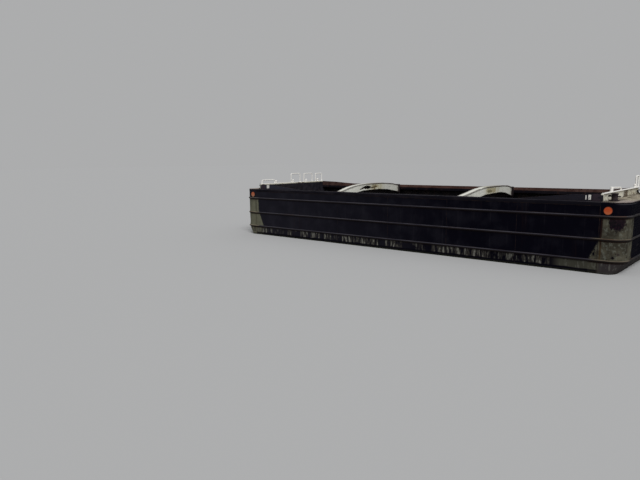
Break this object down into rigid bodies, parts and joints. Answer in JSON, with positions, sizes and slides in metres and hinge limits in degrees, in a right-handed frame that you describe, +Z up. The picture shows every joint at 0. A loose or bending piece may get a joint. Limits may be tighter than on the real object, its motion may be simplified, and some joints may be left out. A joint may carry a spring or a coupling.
{
  "type": "open river barge, push-towed pan",
  "caption": "Open steel river barge with square raked ends, rub rails, arched cross beams over the hold and raised end walls.",
  "frame": {"origin": "middle of the flat bottom, at its underside", "axes": "+X along the hull, +Y across it, +Z up; the side seen in the picture is the -Y side, and the end nearer the camera is +X"},
  "size_m": [17.07, 5.29, 3.3537],
  "materials": {
    "bitumen": "worn black bitumen, rust streaks, olive and pale scrapes at the ends and the waterline",
    "hold_steel": "coal-blackened, scoured steel",
    "rusty_steel": "red-brown rust with bare grey edges",
    "worn_steel": "rubbed grey steel",
    "cream_paint": "chalky cream paint with brown rust stains",
    "white_paint": "off-white paint, chipped and stained",
    "grey_paint": "dull grey paint",
    "orange_paint": "faded orange paint",
    "dark_iron": "dark brown-black, rubbed"
  },
  "bodies": {
    "root": {"beam_pad_left_far": "dark_iron", "beam_pad_left_near": "dark_iron", "beam_pad_right_far": "dark_iron", "beam_pad_right_near": "dark_iron", "bollard_left_far": "dark_iron", "bollard_left_near": "dark_iron", "bollard_right_far": "dark_iron", "bollard_right_near": "dark_iron", "bottom_panel": "hold_steel", "coaming_far": "rusty_steel", "cross_beam_left": "white_paint", "cross_beam_right": "white_paint", "disc_left_far": "orange_paint", "disc_left_near": "orange_paint", "disc_right_far": "orange_paint", "disc_right_near": "orange_paint", "end_box_left": "bitumen", "end_box_right": "bitumen", "end_bulkhead_left": "cream_paint", "end_bulkhead_right": "cream_paint", "end_coping_left": "white_paint", "end_coping_right": "white_paint", "gunwale_bar_far": "rusty_steel", "gunwale_bar_near": "rusty_steel", "knob_post_left_1": "white_paint", "knob_post_left_2": "white_paint", "knob_post_left_3": "white_paint", "knob_post_left_4": "white_paint", "knob_post_right": "white_paint", "low_hoop_left": "white_paint", "low_hoop_right": "white_paint", "rail_lower_far": "worn_steel", "rail_lower_left_end": "worn_steel", "rail_lower_near": "worn_steel", "rail_lower_right_end": "worn_steel", "rail_middle_far": "worn_steel", "rail_middle_left_end": "worn_steel", "rail_middle_near": "worn_steel", "rail_middle_right_end": "worn_steel", "rail_upper_far": "worn_steel", "rail_upper_left_end": "worn_steel", "rail_upper_near": "worn_steel", "rail_upper_right_end": "worn_steel", "side_wall_far": "bitumen", "side_wall_near": "bitumen", "tall_hoop_left_far": "white_paint", "tall_hoop_left_middle": "white_paint", "tall_hoop_left_near": "white_paint", "tall_hoop_right": "white_paint", "wing_plate_left_far": "grey_paint", "wing_plate_left_near": "grey_paint", "wing_plate_right_far": "grey_paint", "wing_plate_right_near": "grey_paint"}
  },
  "joints": []
}
